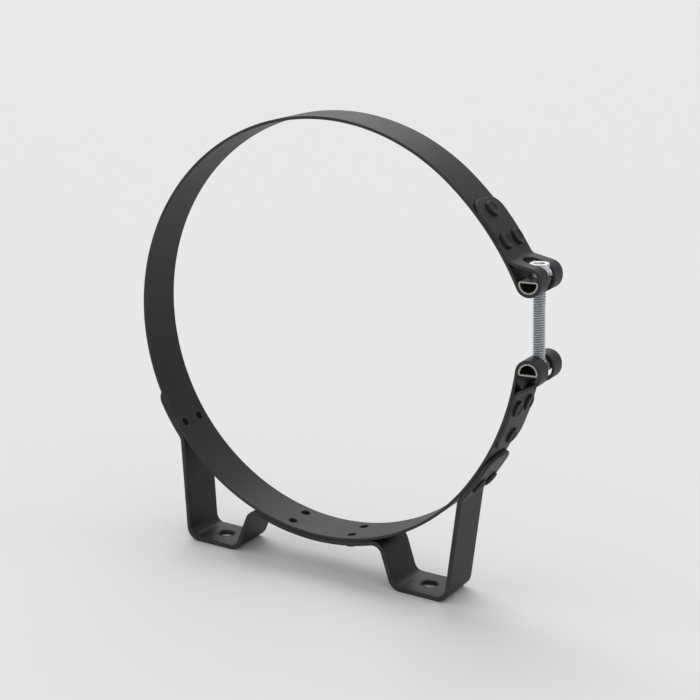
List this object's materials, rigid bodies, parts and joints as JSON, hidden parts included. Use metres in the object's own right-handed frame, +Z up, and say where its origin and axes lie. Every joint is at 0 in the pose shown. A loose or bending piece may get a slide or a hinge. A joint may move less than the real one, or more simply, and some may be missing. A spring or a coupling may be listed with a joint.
{
  "type": "band clamp on foot bracket",
  "caption": "Steel band clamp for a round canister: a coated ring closed by a socket head screw through two trunnions, clinched to a bent bracket with two bolt-down feet.",
  "frame": {"origin": "on the floor plane under the feet, midway between the two foot holes and in the middle of the band's width", "axes": "+X towards the clamp screw, +Y along the ring axis, +Z up from the feet to the ring"},
  "size_m": [0.2809, 0.032, 0.2914],
  "materials": {
    "band_coat": "satin black coat",
    "bracket_coat": "satin black coat",
    "trunnion_steel": "rolled tube with bare cut ends",
    "zinc_plate": "bright zinc plate"
  },
  "bodies": {
    "base": {"band_lower": "band_coat", "foot_bracket": "bracket_coat"},
    "upper_band": {"band_upper": "band_coat"},
    "upper_trunnion": {"upper_trunnion": "trunnion_steel"},
    "lower_trunnion": {"lower_trunnion": "trunnion_steel", "threaded_insert": "zinc_plate"},
    "clamp_screw": {"clamp_screw": "zinc_plate"}
  },
  "joints": [
    {"name": "band_flex", "type": "hinge", "parent": "base", "child": "upper_band", "pos_m": [-0.13085, 0, 0.1575], "axis": [0, 1, 0], "range_deg": [0, 5]},
    {"name": "upper_swivel", "type": "hinge", "parent": "upper_band", "child": "upper_trunnion", "pos_m": [0.138, 0, 0.2087], "axis": [0, 1, 0], "range_deg": [-0.9, 0]},
    {"name": "lower_swivel", "type": "hinge", "parent": "base", "child": "lower_trunnion", "pos_m": [0.14095, 0, 0.1556], "axis": [0, 1, 0], "range_deg": [0, 4.2]},
    {"name": "screw_spin", "type": "hinge", "parent": "upper_trunnion", "child": "clamp_screw", "pos_m": [0.138, 0, 0.2087], "axis": [0.0555, 0, -0.9985], "range_deg": [0, 6050]}
  ],
  "couplings": [
    {"joint": "upper_swivel", "follows": "band_flex", "ratio": -0.174},
    {"joint": "lower_swivel", "follows": "band_flex", "ratio": 0.826},
    {"joint": "screw_spin", "follows": "band_flex", "ratio": 1209.4}
  ]
}
